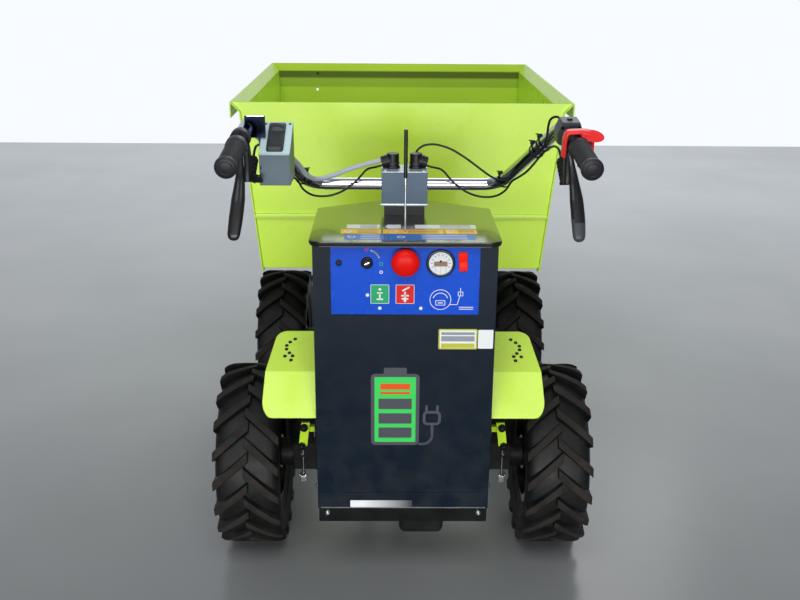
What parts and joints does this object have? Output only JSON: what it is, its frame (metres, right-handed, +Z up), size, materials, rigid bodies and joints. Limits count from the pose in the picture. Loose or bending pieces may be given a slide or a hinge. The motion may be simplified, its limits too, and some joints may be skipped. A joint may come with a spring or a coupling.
{
  "type": "pedestrian battery dumper",
  "caption": "Walk-behind battery dumper: open skip tipping forward over lugged wheels, steel housing with control plate, and a raised handlebar.",
  "frame": {"origin": "on the floor, under the middle of the whole machine", "axes": "+X to the machine's right, +Y forward towards the skip, +Z up"},
  "size_m": [0.838, 1.78, 1.0134],
  "materials": {
    "lime_paint": "gloss",
    "dark_paint": "satin",
    "black_paint": "satin",
    "gloss_cover": "gloss",
    "blue_plate": "gloss",
    "red_plastic": "gloss",
    "black_plastic": "matte",
    "grey_box": "satin",
    "chrome": "polished",
    "steel": "zinc",
    "cast_case": "painted",
    "rubber": "matte",
    "tyre": "matte",
    "battery": "matte",
    "grey_plastic": "matte",
    "grey_conduit": "matte"
  },
  "bodies": {
    "chassis": {"axle_brackets": "black_paint", "bar_brackets": "black_plastic", "battery_block": "battery", "battery_gauge": "black_plastic", "brake_levers": "black_plastic", "brake_links": "lime_paint", "cable_boots": "rubber", "cable_glands": "black_plastic", "column_base": "black_plastic", "column_box": "grey_box", "control_cables": "rubber", "control_plate": "blue_plate", "drive_shaft": "black_paint", "fenders": "lime_paint", "frame_crossmembers": "black_paint", "frame_rails": "black_paint", "front_axle": "cast_case", "gear_motor": "cast_case", "grips": "rubber", "handlebar": "chrome", "housing_back": "dark_paint", "housing_front": "dark_paint", "housing_sides": "dark_paint", "key_switch": "black_plastic", "lamp_switch": "red_plastic", "lower_skirt": "dark_paint", "panel_plug": "black_plastic", "pivot_posts": "black_paint", "rear_axle": "cast_case", "rear_lip": "black_paint", "rest_pads": "rubber", "rest_posts": "black_paint", "stop_button": "red_plastic", "switch_bracket": "chrome", "switch_housing": "grey_plastic", "throttle_lever": "red_plastic", "tip_rocker": "black_plastic", "tip_switch_box": "grey_box", "tip_switch_conduit": "grey_conduit", "top_cover": "gloss_cover", "whip_rod": "black_plastic"},
    "skip": {"skip_brackets": "lime_paint", "skip_floor": "lime_paint", "skip_front": "lime_paint", "skip_rear": "lime_paint", "skip_side_left": "lime_paint", "skip_side_right": "lime_paint"},
    "rear_left_wheel": {"rear_left_tyre": "tyre", "rear_left_rim": "black_paint"},
    "rear_right_wheel": {"rear_right_tyre": "tyre", "rear_right_rim": "black_paint"},
    "front_left_wheel": {"front_left_tyre": "tyre", "front_left_rim": "black_paint"},
    "front_right_wheel": {"front_right_tyre": "tyre", "front_right_rim": "black_paint"},
    "actuator_body": {"actuator_body": "steel"},
    "actuator_rod": {"actuator_rod": "chrome"}
  },
  "joints": [
    {"name": "rear_left_wheel_spin", "type": "hinge", "parent": "chassis", "child": "rear_left_wheel", "pos_m": [-0.331, -0.406, 0.2025], "axis": [-1, 0, 0], "continuous": true},
    {"name": "rear_right_wheel_spin", "type": "hinge", "parent": "chassis", "child": "rear_right_wheel", "pos_m": [0.331, -0.406, 0.2025], "axis": [-1, 0, 0], "continuous": true},
    {"name": "front_left_wheel_spin", "type": "hinge", "parent": "chassis", "child": "front_left_wheel", "pos_m": [-0.331, 0.287, 0.2025], "axis": [-1, 0, 0], "continuous": true},
    {"name": "front_right_wheel_spin", "type": "hinge", "parent": "chassis", "child": "front_right_wheel", "pos_m": [0.331, 0.287, 0.2025], "axis": [-1, 0, 0], "continuous": true},
    {"name": "skip_tip", "type": "hinge", "parent": "chassis", "child": "skip", "pos_m": [0, 0.44, 0.44], "axis": [-1, 0, 0], "range_deg": [0, 75]},
    {"name": "actuator_tilt", "type": "hinge", "parent": "chassis", "child": "actuator_body", "pos_m": [0, -0.18, 0.315], "axis": [1, 0, 0], "range_deg": [0, 12]},
    {"name": "actuator_extend", "type": "slide", "parent": "actuator_body", "child": "actuator_rod", "axis": [0, 0.9601, 0.2795], "range_m": [0, 0.15]}
  ],
  "couplings": [
    {"joint": "actuator_tilt", "follows": "skip_tip", "ratio": 0.09091},
    {"joint": "actuator_extend", "follows": "skip_tip", "m_per_rad": 0.09338}
  ]
}
